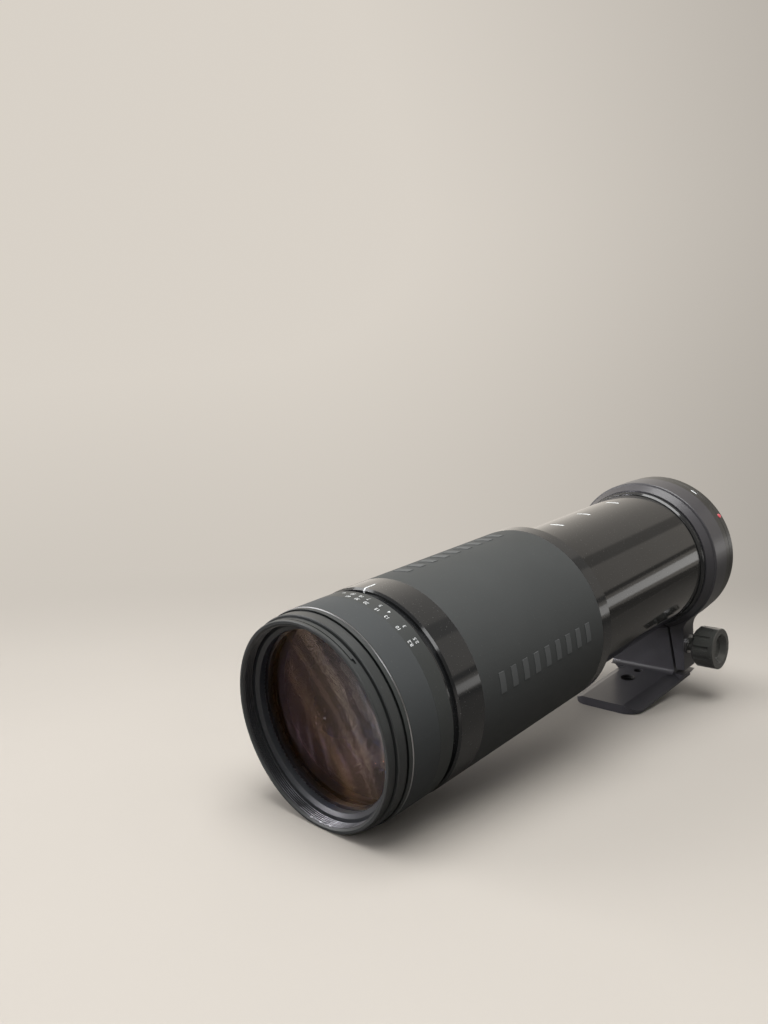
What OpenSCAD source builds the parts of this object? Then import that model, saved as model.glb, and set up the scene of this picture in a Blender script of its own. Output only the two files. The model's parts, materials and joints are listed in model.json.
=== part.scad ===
// Super telephoto zoom lens: push-pull zoom, turning focus ring, tripod collar and camera bayonet.
// The optical axis runs along Y, the front points to -Y and the camera sits at +Y.
// The origin is the centre of the mounting flange's face, and +Z is the top of the lens.

/* [Front] */
// Radius of the 95 mm filter thread in the front rim
filter_r = 47.5; // [45:0.1:52]
// Depth of the filter thread
filter_depth = 6.2; // [4:0.1:8]
// Wall of the rim outside the filter thread
rim_wall = 2.3; // [1.8:0.1:3]
// Length of the whole front rim
rim_len = 10.2; // [9:0.1:16]
// Height of the wide rear band of the rim over its lip
rim_step = 1.3; // [0.8:0.1:1.8]
// Distance from the lip to the groove in front of the rear band
rim_groove_at = 4.2; // [3.6:0.1:5]
// Width of that groove
rim_groove_w = 0.7; // [0.4:0.1:1]
// Depth of the grooves in the rim
rim_groove_depth = 0.8; // [0.4:0.1:1]
// Distance from the lip to the hood slot
hood_slot_at = 1.6; // [1.2:0.1:2]
// Width of the hood slot
hood_slot_w = 0.5; // [0.3:0.1:0.7]
// Length of the notch behind the end of the hood slot
notch_len = 1.3; // [1:0.1:1.6]
// Part of a turn that the hood slot covers, in degrees
hood_slot_arc = 150; // [60:5:170]
// Place of the hood slot's end on the +X side, in degrees from the top
hood_slot_end = 42; // [30:1:70]
// Part of a turn that the notch at the slot's end covers, in degrees
notch_arc = 3; // [2:0.5:5]
// Step from the filter thread down to the outside of the lens cell
cell_step = 1.55; // [1:0.05:2]
// Wall of the front lens cell
cell_wall = 1.5; // [1:0.1:2]
// Length of the ring that holds the front glass
front_lock_t = 4.5; // [4:0.1:5]
// Length of the bevel at its front
front_lock_bevel = 1.2; // [0.8:0.1:1.6]
// Length over which the rim holds the lens cell behind the glass's front edge
rim_hold = 2.5; // [2:0.1:3]
// Width of the flat front face of that ring
front_lock_face = 2.0; // [1.5:0.1:2.4]

/* [Front glass] */
// Edge thickness of the front glass
front_edge = 4.0; // [3:0.1:5]
// Front radius of curvature of the front glass
front_curve_r = 190; // [150:5:260]
// Back radius of curvature of the front glass
front_back_r = 900; // [600:50:1200]
// Length of the spacer behind the front glass
spacer_len = 6.0; // [5.5:0.1:8]
// Edge thickness of the crown glass of the doublet
crown_edge = 4.5; // [3.5:0.1:5.5]
// Front radius of curvature of the crown glass
crown_curve_r = 260; // [220:5:320]
// Radius of curvature of the joint between crown and flint glass
joint_curve_r = 230; // [200:5:300]
// Edge thickness of the flint glass of the doublet
flint_edge = 6.5; // [6:0.1:8]
// Length of the ring that locks the doublet
cell_lock_len = 3.0; // [2:0.1:4]
// Radial width of the spacer and of the doublet's lock ring
cell_lock_w = 2.4; // [1.5:0.1:3]

/* [Focusing] */
// Gap between the rim and the focus ring
rim_gap = 0.6; // [0.4:0.1:1]
// Length of the focus ring
focus_len = 28.7; // [28:0.1:32]
// Length of the lower nose of the focus ring, which takes the rim at infinity
focus_nose = 2.4; // [2:0.1:2.6]
// Radial height of the focus ring outside its running fit
focus_wall = 4.05; // [4:0.05:4.6]
// Length of the rubber grip of the focus ring
focus_grip_len = 16.5; // [12:0.5:17]
// Thickness of the rubber grip of the focus ring
focus_grip_t = 1.2; // [0.8:0.1:1.4]
// Distance from the ring's front edge to its rubber grip
focus_grip_at = 2.9; // [2.6:0.1:4]
// Gap between the focus ring and the zoom sleeve
focus_gap = 4.0; // [3:0.1:5]
// Wall of the tube that carries the focus ring
carrier_wall = 2.0; // [1.5:0.1:2.5]
// Travel of the front cell towards the subject, at the near limit
focus_near = 11.2; // [10:0.1:12]
// Travel of the front cell towards the camera, at infinity
focus_far = 1.4; // [1:0.1:1.6]
// Number of pins that move the front cell
focus_pin_count = 3; // [3:1:4]
// Radius of the pins that move the front cell
focus_pin_r = 2.0; // [1.5:0.1:2.4]
// Distance from the ring's front edge to the pins at rest
focus_pin_at = 21.9; // [21.8:0.1:22.4]

/* [Zoom sleeve] */
// Length of the zoom sleeve
sleeve_len = 133; // [125:1:145]
// Length of the gloss band in front of the rubber
front_band_len = 17.5; // [14:0.5:20]
// Length of the gloss band behind the rubber
rear_band_len = 10; // [8:0.5:14]
// Wall of the sleeve under the rubber
sleeve_wall = 2.05; // [1.6:0.05:2.6]
// Thickness of the rubber on the sleeve
rubber_t = 1.5; // [1.2:0.1:2]
// Rounding of the sleeve's front lip, as a chamfer
sleeve_lip = 1.0; // [0.6:0.1:1.4]
// Chamfer at the sleeve's rear edge
sleeve_tail = 1.2; // [0.6:0.1:1.6]
// Length of the guiding land at the sleeve's rear
land_len = 13; // [10:0.5:16]
// Length of the felt ring inside the rear land
felt_len = 5; // [4:0.5:6]
// Thickness of the felt ring
felt_t = 1.2; // [0.8:0.1:1.6]
// Length of the white index line on the front band
index_len = 6; // [4:0.5:10]
// Number of grip rows round the rubber
grip_rows = 4; // [3:1:6]
// Number of raised bars in each grip row of the rubber
grip_bars = 9; // [7:1:11]
// Length of one row of grip bars
grip_row_len = 76; // [60:1:90]
// Width of one grip bar along the axis
grip_bar_w = 4.2; // [3:0.1:5]
// Length of one grip bar round the sleeve, in degrees
grip_bar_arc = 11; // [8:0.5:16]
// Height of the grip bars over the rubber
grip_bar_t = 0.3; // [0.2:0.1:0.5]
// Place of the first row of grip bars, in degrees from the top
grip_row_angle = 85; // [80:1:90]

/* [Barrel] */
// Step from the front cell's running surface out to the sleeve's bore
bore_step = 0.95; // [0.6:0.05:1.4]
// Wall of the guide bush on the barrel's front end
bush_wall = 2.4; // [2:0.1:3]
// Length of the guide bush, which leaves the rest of the sleeve to the zoom travel
bush_len = 18.2; // [16:0.1:24]
// Wall of the fixed barrel
barrel_wall = 2.5; // [2:0.1:3]
// Length of the barrel that shows behind the sleeve at rest
barrel_show = 125.5; // [122:0.5:140]
// Free room between the retracted front cell and the barrel
cell_room = 1.5; // [1:0.1:3]
// Width of the guide key on the bush
key_w = 6; // [4:0.5:8]
// Length of the guide key on the bush
key_len = 12; // [8:0.5:16]
// Height of the guide key over the bush
key_h = 1.0; // [0.6:0.1:1.2]
// Length of the bevelled ring behind the barrel
tail_ring_len = 4; // [3:0.1:5]
// Height of the bevelled ring over the barrel
tail_ring_h = 1.5; // [1:0.1:2]
// Length of a focal length mark round the barrel
mark_len = 9.2; // [6:0.1:12]
// Width of a focal length mark
mark_w = 0.9; // [0.5:0.1:1.4]
// Depth of the painted groove of a mark
mark_depth = 0.2; // [0.1:0.05:0.4]
// Distance from the sleeve's rear edge to the first focal length mark
mark_at = 31.8; // [24:0.1:34]
// Distance between the first and the second mark
mark_pitch_a = 31.1; // [25:0.1:32]
// Distance between the second and the third mark
mark_pitch_b = 36.1; // [30:0.1:38]

/* [Zoom glass] */
// Distance from the sleeve's rear edge at rest to the variator cell
variator_at = 18.5; // [14:0.5:22]
// Length of the variator cell
variator_len = 20; // [16:0.5:22]
// Travel of the variator for the whole zoom travel
variator_travel = 33.6; // [28:0.1:34]
// Free room between the two zoom cells where they come closest
cells_gap = 1.9; // [1:0.1:3]
// Length of the compensator cell
compensator_len = 14; // [12:0.5:15]
// Travel of the compensator for the whole zoom travel
compensator_travel = 11.5; // [9:0.1:12]
// Radial width of the variator cell round its glass
variator_rim_w = 13.95; // [12:0.05:17]
// Radial width of the compensator cell round its glass
compensator_rim_w = 15.95; // [12:0.05:17]
// Radius of curvature of the zoom glass surfaces
zoom_curve_r = 180; // [160:5:240]
// Thickness of the hollow zoom glass at its centre, which also sets the edges of both
variator_core = 2; // [1.5:0.1:3]
// Length of the ring that locks a zoom glass
zoom_lock_len = 2; // [1.5:0.1:2.5]

/* [Iris] */
// Number of iris blades
blades = 6; // [6:1:6]
// Place of the pin that turns the iris, in degrees from the top
pin_angle = 150; // [140:5:160]
// Place of the click ball, in degrees from the top
click_angle = 30; // [20:5:40]
// Wall of the iris housing round its blades
iris_wall = 1.8; // [1.5:0.1:3]
// Width of an iris blade
blade_w = 6; // [5:0.5:6.5]
// Thickness of an iris blade
blade_t = 0.4; // [0.3:0.05:0.5]
// Free room between two neighbouring blades
blade_gap = 0.25; // [0.2:0.01:0.3]
// Part of the circle that one blade covers, in degrees
blade_arc = 80; // [70:1:85]
// Distance from a blade's outer edge to its pivot
pivot_out = 2.2; // [2:0.1:3]
// Radius of a blade's pivot post
pivot_r = 0.9; // [0.7:0.05:1]
// Radius of the eye round a blade's pivot
eye_r = 2.4; // [2.1:0.1:2.6]
// Length of the iris housing
iris_len = 10.5; // [10:0.1:12]
// Thickness of the housing's floor
iris_floor = 2; // [1.5:0.1:2.5]
// Thickness of the iris drive ring
drive_t = 2; // [1.5:0.1:2.5]
// Distance from the barrel's bevelled ring forward to the iris housing
iris_at = 21; // [20:0.5:22]

/* [Rear] */
// Radius of the collar's seat over the barrel's radius
seat_step = 0.5; // [0.3:0.1:1]
// Thickness of the collar's lining
lining_t = 0.8; // [0.6:0.1:1.2]
// Length of the bevelled cove in front of the collar
cove_len = 7; // [6:0.5:9]
// Length of the collar and of its neck
collar_len = 16; // [14:0.5:20]
// Wall of the collar
collar_wall = 4.95; // [4:0.05:6]
// Gap between neighbouring outer rings
ring_gap = 0.3; // [0.3:0.05:0.6]
// Length of the aperture ring
aperture_len = 6.0; // [5.5:0.1:12]
// Height of the collar over the aperture ring
aperture_drop = 0.3; // [0.2:0.1:1]
// Step from the collar's seat down to the aperture ring's seat
aperture_step = 3; // [2:0.1:4]
// Wall of the rear housing
housing_wall = 6; // [5:0.1:7]
// Wall of the aperture drive tube
drive_wall = 1.75; // [1.4:0.05:2]
// Radius of the pin between aperture ring and drive tube
aperture_pin_r = 1.5; // [1:0.1:1.8]
// Turn of the aperture ring, in degrees
aperture_turn = 60; // [40:1:70]
// Radius of the click ball under the aperture ring
click_r = 1.0; // [0.8:0.1:1.2]
// Length of the click spring
click_spring_len = 2.6; // [2:0.1:3]

/* [Rear glass] */
// Free room between the rear lens cell and the drive tube
rear_cell_gap = 3.2; // [2:0.1:5]
// Wall of the rear lens cell
rear_cell_wall = 3; // [2:0.1:4]
// Thickness of the rear cell's flange
rear_flange_t = 2.5; // [2:0.1:3]
// Length of the rear lens cell
rear_cell_len = 42; // [38:0.5:44]
// Edge thickness of the rear glasses
rear_edge = 5; // [4:0.1:6]
// Radius of curvature of the rear glasses
rear_curve_r = 80; // [70:5:120]

/* [Mount] */
// Length of the mount adapter, up to the flange's face
adapter_len = 26.4; // [24:0.1:30]
// Step from the aperture ring down to the adapter's gripping ring
adapter_drop = 0.3; // [0.2:0.1:1]
// Length of the adapter's gripping ring
adapter_grip_len = 5.6; // [5:0.1:6.5]
// Step from the gripping ring down to the adapter's cone
adapter_step = 3.5; // [2.5:0.1:5]
// Number of scalloped places round the gripping ring
scallop_groups = 3; // [2:1:4]
// Number of scallops in one place
scallops = 2; // [1:1:4]
// Middle of the first scalloped place, in degrees from the top
scallop_angle = 46.5; // [36:0.5:50]
// Distance between two scallops, in degrees
scallop_pitch = 10.3; // [9:0.1:12]
// Radius of one scallop
scallop_r = 14; // [10:0.5:18]
// Depth of one scallop
scallop_depth = 1.0; // [0.5:0.1:1.2]
// Radius of the bayonet flange
mount_r = 32.5; // [30:0.1:34]
// Thickness of the bayonet flange
mount_t = 3; // [2:0.1:4]
// Radius of the throat inside the bayonet
throat_r = 19.5; // [18:0.1:20.5]
// Outer radius of the bayonet's tube
bayonet_r = 22; // [21.5:0.1:22.5]
// Radius over the bayonet's claws
claw_r = 23.8; // [23:0.1:24.5]
// Height of the bayonet over the flange
bayonet_len = 5; // [4:0.1:6]
// Thickness of a claw
claw_t = 1.6; // [1.2:0.1:2]
// Number of claws
claws = 3; // [3:1:4]
// Part of the circle that one claw covers, in degrees
claw_arc = 55; // [45:1:60]
// Radius of the circle of mounting screws
mount_screw_ring = 27.5; // [26:0.1:28.5]
// Number of mounting screws
flange_screws = 5; // [4:1:6]
// Radius of a mounting screw's head
mount_screw_r = 1.6; // [1.2:0.1:2]
// Length of a mounting screw
mount_screw_len = 6; // [5:0.1:8]
// Radius of the red index bead
bead_r = 1.7; // [1.2:0.1:1.9]
// Distance from the adapter's front face to the index bead
bead_at = 2.4; // [2.3:0.1:2.8]
// Place of the red index bead round the adapter, in degrees from the top
bead_angle = 59; // [40:1:70]
// Outer radius of the stop-down lever's ring
lever_ring_r = 24; // [23:0.1:25]
// Thickness of the stop-down lever's ring
lever_t = 1.5; // [1:0.1:2]
// Place of the lever's tab round the throat, in degrees from the top
lever_angle = 205; // [180:1:230]
// Radial thickness of the lever's tab
lever_tab_t = 1.6; // [1:0.1:2]
// Part of the circle that the lever's tab covers, in degrees
lever_tab_arc = 9; // [6:1:14]

/* [Tripod foot] */
// Distance from the collar's outer radius down to the foot's sole
foot_below = 36.7; // [32:0.1:46]
// Thickness of the foot plate
foot_t = 6; // [5:0.1:8]
// Width of the plate's top between its bevels
foot_top_w = 31; // [26:0.5:36]
// Width of the plate's sole
foot_sole_w = 48; // [44:0.5:54]
// Height of the plate's square lower edge
foot_edge = 1.6; // [1:0.1:3]
// Length of the foot plate
foot_len = 81; // [74:0.5:90]
// Radius of the plate's corners at the toe
foot_corner = 11; // [6:0.5:14]
// Width of the neck
neck_w = 55.2; // [52:0.1:60]
// Radius of the blend from collar to neck
neck_blend = 14; // [10:0.5:18]
// Radius of the blend from neck to plate
foot_blend = 3; // [2:0.1:4]
// Distance from the centre plane to the slit, at its top
slit_top_x = 16.4; // [15:0.1:17]
// Distance from the centre plane to the slit, at its bottom
slit_low_x = 21; // [19:0.1:22]
// Width of the slit
slit_w = 1.5; // [1:0.1:2]
// Free height between the clamping cheek and the plate
cheek_gap = 3.5; // [2:0.1:5]
// Radius of the large tripod socket, a 3/8 inch thread
socket_large_r = 4.7625; // [4:0.0005:5]
// Radius of the small tripod socket, a 1/4 inch thread
socket_small_r = 3.175; // [3:0.0005:3.5]
// Distance from the neck's front face to the small socket
socket_small_at = 7; // [6.5:0.1:8]
// Distance between the two sockets
socket_pitch = 15.5; // [13:0.1:20]
// Distance from the centre plane to the sockets
socket_side = 4; // [0:0.1:5]

/* [Clamp knob] */
// Distance from the collar's outer radius down to the clamp screw
knob_below = 9.7; // [8:0.1:12]
// Radius of the clamp knob
knob_r = 14; // [12:0.1:16]
// Length of the clamp knob
knob_len = 16; // [12:0.1:20]
// Radius of the knob's hub
hub_r = 4.7; // [4:0.1:6]
// Length of the knob's hub
hub_len = 5.4; // [3:0.1:8]
// Number of flutes in the knob
flutes = 12; // [8:1:16]
// Radius of one flute
flute_r = 1.5; // [1:0.1:2]
// Width of the plain rim at the knob's outer end
knob_rim = 3; // [2:0.1:4]
// Radius of the hollow in the knob's outer end
knob_hollow_r = 10; // [8:0.1:11]
// Depth of the hollow in the knob's outer end
knob_hollow = 3.5; // [2:0.1:6]
// Chamfer at the knob's inner end
knob_chamfer = 2.6; // [1:0.1:3]
// Radius of the clamp screw
screw_r = 3; // [2.5:0.1:3.5]
// Thickness of the washer under the knob
washer_t = 1.0; // [0.6:0.1:1.5]
// Radius of the washer under the knob
washer_r = 6.4; // [5.5:0.1:8]
// Travel of the knob when it is undone
knob_travel = 2; // [1:0.1:3]
// Length of thread that stays in the neck behind the slit when the knob is undone
screw_hold = 14; // [10:0.5:18]

/* [Fits] */
// Radial clearance of a running fit
run_fit = 0.05; // [0.02:0.01:0.08]
// Free room between parts that pass each other
free_gap = 0.3; // [0.2:0.05:0.4]

/* [Hidden] */
$fn = 96;

// How far a cut runs past the face that it opens
over = 1;

// Small chamfers and steps that have no place among the sizes above
edge = 0.4;
nose_wall = 2;
nose_step = 0.3;
lock_step = 0.8;
lock_t = 2;
lock_over = 1.5;
thread_lead = 0.7;
cell_lip = 0.95;
flange_over = 0.5;
carrier_in = 1;
land_felt_at = 3.5;
ball_gap = 0.1;
web_share = 0.25;
cross_share = 0.6;
rear_lip = 1;
cone_hollow = 1;
cone_step = 1;
lever_lip = 1;
glue_gap = 0.02;

// Depth of a spherical surface at a radius
function sag(r, curve) = curve - sqrt(curve * curve - r * r);

// Radii of the nested tubes, from the filter thread outwards and inwards
cell_r = filter_r - cell_step;
glass_r = cell_r - cell_wall;
carrier_bore = cell_r + run_fit;
carrier_r = carrier_bore + carrier_wall;
sleeve_bore = carrier_r + bore_step;
bush_r = sleeve_bore - run_fit;
barrel_r = bush_r - bush_wall;
barrel_bore = barrel_r - barrel_wall;
sleeve_core_r = sleeve_bore + sleeve_wall;
band_r = sleeve_core_r + rubber_t;
rim_r = filter_r + rim_wall;
rim_back_r = rim_r + rim_step;
focus_bore = carrier_r + run_fit;
focus_r = focus_bore + focus_wall;
rim_hold_r = carrier_r + lock_over;
seat_r = barrel_r + seat_step;
collar_bore = seat_r + run_fit + lining_t;
collar_r = collar_bore + collar_wall;
aperture_r = collar_r - aperture_drop;
aperture_seat_r = seat_r - aperture_step;
housing_bore = aperture_seat_r - housing_wall;
drive_r = housing_bore - run_fit;
drive_bore = drive_r - drive_wall;
adapter_r = aperture_r - adapter_drop;
adapter_cone_r = adapter_r - adapter_step;
rear_cell_r = drive_bore - rear_cell_gap;
rear_glass_r = rear_cell_r - rear_cell_wall;
variator_glass_r = barrel_bore - run_fit - variator_rim_w;
compensator_glass_r = barrel_bore - run_fit - compensator_rim_w;
zoom_edge = variator_core + 2 * sag(variator_glass_r, zoom_curve_r);

// Stations along the axis, from the front lip back to the flange's face at zero
total_len = rim_len + rim_gap + focus_len + focus_gap + sleeve_len + barrel_show + tail_ring_len
    + cove_len + collar_len + ring_gap + aperture_len + ring_gap + adapter_len;
lip_y = -total_len;
rim_back_y = lip_y + rim_len;
focus_y = rim_back_y + rim_gap;
focus_back_y = focus_y + focus_len;
sleeve_y = focus_back_y + focus_gap;
sleeve_back_y = sleeve_y + sleeve_len;
tail_ring_y = sleeve_back_y + barrel_show;
cove_y = tail_ring_y + tail_ring_len;
collar_y = cove_y + cove_len;
collar_back_y = collar_y + collar_len;
aperture_y = collar_back_y + ring_gap;
aperture_back_y = aperture_y + aperture_len;
adapter_y = aperture_back_y + ring_gap;
adapter_back_y = -mount_t;

// The front glass stack, each piece starting where the one before it ends
front_lock_y = lip_y + filter_depth;
glass_y = front_lock_y + front_lock_t;
spacer_y = glass_y + front_edge;
crown_y = spacer_y + spacer_len;
flint_y = crown_y + crown_edge;
cell_lock_y = flint_y + flint_edge;
cell_lock_r = glass_r - cell_lock_w;

// The carrier starts behind the rim's hold at infinity and ends inside the sleeve's front flange,
// and the barrel stops behind it at full retraction
hold_back_y = glass_y + rim_hold;
carrier_y = hold_back_y + focus_far + free_gap;
carrier_back_y = sleeve_y + carrier_in;
cell_back_y = carrier_back_y - focus_far;
land_y = sleeve_back_y - land_len;
barrel_y = land_y - free_gap - bush_len;
zoom_travel = barrel_y - cell_room - carrier_back_y;
pin_y = focus_y + focus_pin_at;
pin_top = carrier_r + (focus_wall - focus_grip_t) / 2 - edge / 2;
pin_step = 360 / focus_pin_count;
focus_grip_y = focus_y + focus_grip_at;

// The pieces on and in the zoom sleeve
rubber_y = sleeve_y + front_band_len;
rubber_back_y = sleeve_back_y - rear_band_len;
felt_y = land_y + land_felt_at;
felt_r = barrel_r + free_gap + felt_t;
key_y = land_y - free_gap - edge - key_len;

// The zoom glass in its two cells
variator_y = sleeve_back_y + variator_at;
variator_web_y = variator_y + (variator_len - zoom_edge - zoom_lock_len) / 2;
compensator_y = variator_y + variator_len + variator_travel + compensator_travel + cells_gap;
compensator_web_y = compensator_y + (compensator_len - zoom_edge - zoom_lock_len) / 2;

// The iris, its blades in layers behind the housing's floor
iris_y = tail_ring_y - iris_at;
iris_back_y = iris_y + iris_len;
blade_y = iris_y + iris_floor + blade_gap;
blade_pitch = blade_t + blade_gap;
drive_y = blade_y + blades * blade_pitch + blade_gap;
iris_bore = housing_bore - iris_wall;
pivot_ring = iris_bore - 2 * free_gap - eye_r;
iris_open_r = pivot_ring - pivot_out - blade_w;

// The rear housing, its cell and the drive tube
seat_back_y = aperture_y - ring_gap / 2;
aperture_seat_back_y = aperture_back_y + ring_gap / 2;
aperture_pin_y = (aperture_y + aperture_back_y) / 2;
spigot_r = aperture_seat_r - aperture_step;
spigot_len = 4.6;
spigot_back_y = adapter_y + spigot_len;
rear_flange_back_y = spigot_back_y - rear_flange_t;
rear_flange_y = rear_flange_back_y - rear_flange_t;
drive_back_y = rear_flange_y - free_gap;
rear_cell_y = rear_flange_back_y - rear_cell_len;

// The mount, with the stop-down lever's ring caught inside the adapter
lever_seat = lever_ring_r + run_fit;
flange_spigot = 5.4;
flange_front_y = -mount_t - flange_spigot;
lever_y = flange_front_y - free_gap - lever_t;
lever_step_y = lever_y - free_gap;
lever_tab_r = throat_r - free_gap;

// The foot: heights are measured down from the axis
sole_z = -collar_r - foot_below;
foot_top_z = sole_z + foot_t;
cheek_z = foot_top_z + cheek_gap;
toe_y = collar_back_y - foot_len;
half_neck = neck_w / 2;
blend_x = half_neck + neck_blend;
blend_z = -sqrt(pow(collar_r + neck_blend, 2) - pow(blend_x, 2));
blend_share = collar_r / (collar_r + neck_blend);
slit_top_z = -sqrt(seat_r * seat_r - slit_top_x * slit_top_x);
slit_mid_x = (slit_top_x + slit_low_x) / 2;
knob_y = (collar_y + collar_back_y) / 2;
knob_z = -collar_r - knob_below;
hub_x = half_neck + washer_t + run_fit;
knob_x = hub_x + hub_len;
screw_x = slit_mid_x - screw_hold - knob_travel;

// A ring turned round the optical axis from points [radius, y]
module turned(points) {
    rotate([-90, 0, 0]) rotate_extrude() polygon(points);
}

// A plain tube round the optical axis
module tube(r_out, r_in, y_a, y_b) {
    turned([[r_in, y_a], [r_out, y_a], [r_out, y_b], [r_in, y_b]]);
}

// Part of a tube, starting at an angle from the top and running towards +X
module tube_arc(r_out, r_in, y_a, y_b, start, arc) {
    rotate([0, start, 0]) rotate([-90, 0, 0]) rotate([0, 0, -90]) rotate_extrude(angle = arc)
        polygon([[r_in, y_a], [r_out, y_a], [r_out, y_b], [r_in, y_b]]);
}

// A round bar along the optical direction, at a place [x, z]
module bar_y(r, y_a, y_b, x = 0, z = 0) {
    translate([x, y_a, z]) rotate([-90, 0, 0]) cylinder(r = r, h = y_b - y_a);
}

// A round bar along X
module bar_x(r, x_a, x_b, y, z) {
    translate([x_a, y, z]) rotate([0, 90, 0]) cylinder(r = r, h = x_b - x_a);
}

// A radial bar at an angle from the top
module spoke(r, r_in, r_out, y, angle) {
    rotate([0, angle, 0]) translate([0, y, r_in]) cylinder(r = r, h = r_out - r_in);
}

// A plate in the X-Z plane, from y_a to y_b
module plate_y(y_a, y_b) {
    translate([0, y_b, 0]) rotate([90, 0, 0]) linear_extrude(y_b - y_a) children();
}

// A round glass with its edge from y_a to y_b. Positive curves stand out, negative ones are hollow, 0 is flat
glass_steps = 12;

function rise(r, edge_r, curve) =
    curve == 0 ? 0 : sign(curve) * (sag(edge_r, abs(curve)) - sag(r, abs(curve)));

module glass(r, y_a, y_b, curve_a, curve_b) {
    step = r / glass_steps;
    turned(concat([for (i = [0 : glass_steps]) [i * step, y_a - rise(i * step, r, curve_a)]],
        [for (i = [glass_steps : -1 : 0]) [i * step, y_b + rise(i * step, r, curve_b)]]));
}

// The focal length marks' places along the barrel
mark_places = [sleeve_back_y + mark_at, sleeve_back_y + mark_at + mark_pitch_a,
    sleeve_back_y + mark_at + mark_pitch_a + mark_pitch_b];
mark_arc = mark_len / barrel_r * 180 / PI;

// Fixed barrel, its focal length marks and the pieces on its two ends
module mark_strips(r_out) {
    for (y = mark_places)
        tube_arc(r_out, barrel_r - mark_depth, y - mark_w / 2, y + mark_w / 2, -mark_arc / 2, mark_arc);
}

module fixed_barrel() {
    color("#17181a") difference() {
        tube(barrel_r, barrel_bore, barrel_y, cove_y);
        mark_strips(barrel_r + over);
    }
}

module focal_marks() {
    color("white") mark_strips(barrel_r);
}

module key_block(width, y_a, y_b, r_in, r_out) {
    translate([-width / 2, y_a, -r_out]) cube([width, y_b - y_a, r_out - r_in]);
}

module guide_bush() {
    color("#b8944a") difference() {
        tube(bush_r, barrel_r, barrel_y, land_y - free_gap);
        key_block(key_w, key_y, key_y + key_len, bush_r - key_h, bush_r + over);
    }
}

module guide_key() {
    color("silver") key_block(key_w, key_y, key_y + key_len, bush_r - key_h, bush_r + key_h);
}

module tail_ring() {
    color("#17181a") turned([[barrel_r, tail_ring_y], [barrel_r + edge, tail_ring_y],
        [barrel_r + tail_ring_h, tail_ring_y + tail_ring_h], [barrel_r + tail_ring_h, cove_y],
        [barrel_r, cove_y]]);
}

module rear_housing() {
    slot_half = aperture_pin_r + free_gap;
    slot_extra = slot_half / aperture_seat_r * 180 / PI;
    color("#202124") difference() {
        turned([[housing_bore, iris_back_y], [barrel_bore, iris_back_y], [barrel_bore, cove_y],
            [seat_r, cove_y], [seat_r, seat_back_y], [aperture_seat_r, seat_back_y],
            [aperture_seat_r, aperture_seat_back_y], [spigot_r, aperture_seat_back_y],
            [spigot_r, spigot_back_y], [housing_bore, spigot_back_y]]);
        tube_arc(aperture_seat_r + over, housing_bore - over, aperture_pin_y - slot_half,
            aperture_pin_y + slot_half, pin_angle - slot_extra, aperture_turn + 2 * slot_extra);
        click_pocket();
    }
}

// The click ball sits in a blind radial pocket, on its spring
click_ball_z = aperture_seat_r + run_fit - ball_gap - click_r;
click_floor_r = click_ball_z - click_r - click_spring_len;

module click_pocket() {
    spoke(click_r + run_fit, click_floor_r, aperture_seat_r + over, aperture_pin_y, click_angle);
}

module click_ball() {
    color("silver") rotate([0, click_angle, 0]) translate([0, aperture_pin_y, click_ball_z])
        sphere(r = click_r);
}

module click_spring() {
    color("silver") difference() {
        spoke(click_r, click_floor_r, click_ball_z - click_r, aperture_pin_y, click_angle);
        spoke(click_r / 2, click_floor_r - over, click_ball_z, aperture_pin_y, click_angle);
    }
}

// Iris: housing with pivot posts, blades in layers, and the drive tube with its flange
module iris_housing() {
    color("#1c1c1e") {
        turned([[iris_open_r, iris_y], [barrel_bore, iris_y], [barrel_bore, iris_back_y],
            [housing_bore, iris_back_y], [housing_bore, drive_y - blade_gap],
            [iris_bore, drive_y - blade_gap], [iris_bore, iris_y + iris_floor],
            [iris_open_r, iris_y + iris_floor]]);
        for (k = [0 : blades - 1]) rotate([0, k * 360 / blades, 0])
            bar_y(pivot_r, iris_y + iris_floor - over, drive_y - blade_gap, 0, pivot_ring);
    }
}

module iris_blade(k) {
    y = blade_y + k * blade_pitch;
    lead = asin(eye_r / iris_open_r);
    color("#3a3b3f") rotate([0, k * 360 / blades, 0]) difference() {
        union() {
            tube_arc(iris_open_r + blade_w, iris_open_r, y, y + blade_t, -lead, blade_arc + lead);
            bar_y(eye_r, y, y + blade_t, 0, pivot_ring);
            translate([-eye_r, y, iris_open_r + blade_w / 2])
                cube([2 * eye_r, blade_t, pivot_ring - iris_open_r - blade_w / 2]);
        }
        bar_y(pivot_r + run_fit, y - over, y + blade_t + over, 0, pivot_ring);
    }
}

module aperture_drive_tube() {
    color("#2a2a2c") difference() {
        turned([[iris_open_r, drive_y], [drive_r, drive_y], [drive_r, drive_back_y],
            [drive_bore, drive_back_y], [drive_bore, drive_y + drive_t],
            [iris_open_r, drive_y + drive_t]]);
        spoke(aperture_pin_r, drive_bore - over, drive_r + over, aperture_pin_y, pin_angle);
    }
}

module aperture_pin() {
    color("silver") spoke(aperture_pin_r, drive_bore, aperture_seat_r + aperture_step,
        aperture_pin_y, pin_angle);
}

module aperture_ring() {
    color("#1d1e20") difference() {
        turned([[aperture_seat_r + run_fit, aperture_y], [aperture_r - edge, aperture_y],
            [aperture_r, aperture_y + edge], [aperture_r, aperture_back_y - edge],
            [aperture_r - edge, aperture_back_y], [aperture_seat_r + run_fit, aperture_back_y]]);
        spoke(aperture_pin_r, aperture_seat_r - over, aperture_seat_r + aperture_step,
            aperture_pin_y, pin_angle);
    }
}

// Rear glass in its cell
module rear_cell() {
    color("#1c1c1e") turned([[rear_glass_r, rear_cell_y], [rear_cell_r, rear_cell_y],
        [rear_cell_r, rear_flange_y], [housing_bore, rear_flange_y],
        [housing_bore, rear_flange_back_y], [rear_glass_r, rear_flange_back_y]]);
}

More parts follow.
